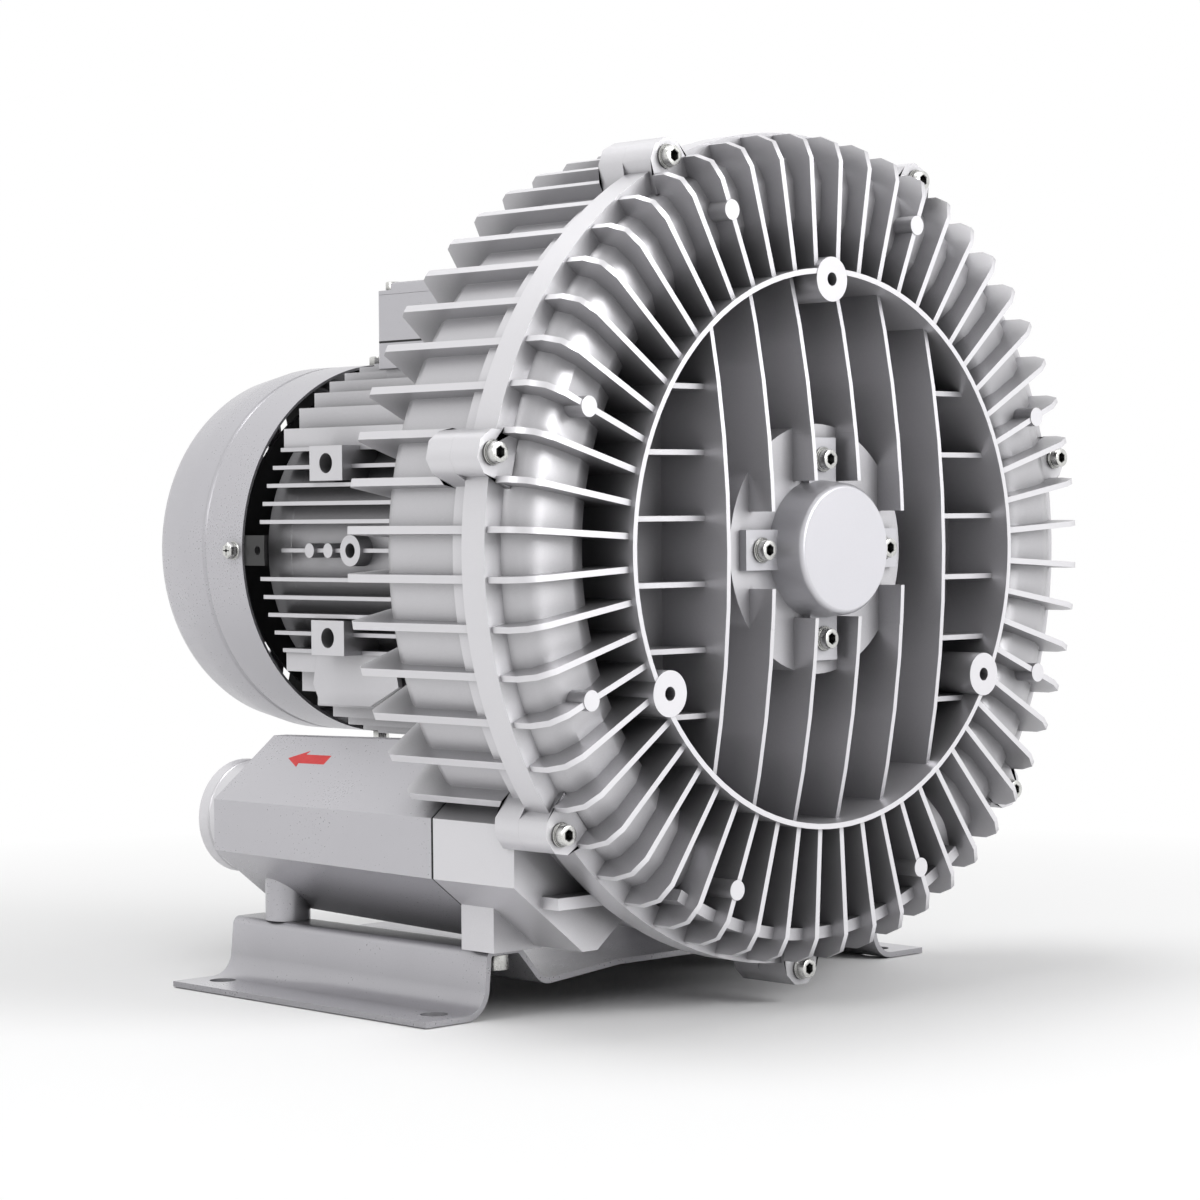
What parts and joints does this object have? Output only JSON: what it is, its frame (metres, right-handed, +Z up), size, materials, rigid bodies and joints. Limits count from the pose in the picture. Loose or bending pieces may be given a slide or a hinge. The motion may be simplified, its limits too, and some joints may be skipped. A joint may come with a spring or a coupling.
{
  "type": "side channel blower",
  "caption": "Side channel blower with a built-on finned motor, a vaned impeller between two finned castings, two silencers with hose spigots and a bent foot.",
  "frame": {"origin": "on the floor, in the middle of the foot's four bolt holes, straight below the shaft", "axes": "+Z up; the shaft runs along Y, the finned blower end faces -Y and the fan cowl +Y; +X is to the right seen from the front"},
  "size_m": [0.4394, 0.4399, 0.441],
  "materials": {
    "castings": "painted cast aluminium, silver-grey, satin",
    "hub_cap": "painted cast aluminium, paler, satin",
    "impeller": "raw cast aluminium",
    "steel": "turned steel",
    "screws": "zinc-plated steel",
    "laminations": "stacked sheets, edges showing",
    "copper": "varnished copper winding",
    "cowl": "silver-grey sheet, satin",
    "foot": "silver-grey bent sheet, satin",
    "black_steel": "black sheet, satin",
    "rubber": "black sealing rubber",
    "black_plastic": "black moulding",
    "terminal_board": "dark moulding",
    "brass": "brass studs and nuts",
    "foam": "open-cell sound foam"
  },
  "bodies": {
    "rotor": {"rotor_shaft": "steel", "impeller_key": "steel", "impeller": "impeller", "impeller_nut": "screws", "front_bearing_inner": "steel", "rear_bearing_inner": "steel", "front_bearing_balls": "steel", "rear_bearing_balls": "steel", "rotor_core": "laminations", "cooling_fan": "black_plastic", "fan_circlip": "steel"},
    "stator": {"front_cover": "castings", "pump_housing": "castings", "cover_seal": "rubber", "flange_bolts": "screws", "hub_cover": "hub_cap", "hub_screws": "screws", "front_bearing_outer": "steel", "rear_bearing_outer": "steel", "front_shaft_seal": "rubber", "rear_shaft_seal": "rubber", "motor_frame": "castings", "motor_screws": "screws", "stator_core": "laminations", "stator_windings": "copper", "rear_end_shield": "castings", "end_shield_screws": "screws", "bearing_spring": "steel", "fan_cowl": "cowl", "cowl_brackets": "black_steel", "cowl_screws": "screws", "terminal_box_base": "castings", "terminal_box_gasket": "rubber", "terminal_box_body": "castings", "terminal_box_lid": "castings", "lid_screws": "screws", "box_screws": "screws", "terminal_block": "terminal_board", "terminal_studs": "brass", "cable_gland": "black_plastic", "gland_locknut": "black_plastic", "outlet_silencer": "castings", "outlet_absorber": "foam", "outlet_spigot": "castings", "outlet_gasket": "rubber", "inlet_silencer": "castings", "inlet_absorber": "foam", "inlet_spigot": "castings", "inlet_gasket": "rubber", "foot_plate": "foot", "foot_screws": "screws"}
  },
  "joints": [
    {"name": "rotor_spin", "type": "hinge", "parent": "stator", "child": "rotor", "pos_m": [0, 0, 0.231], "axis": [0, 1, 0], "continuous": true}
  ]
}
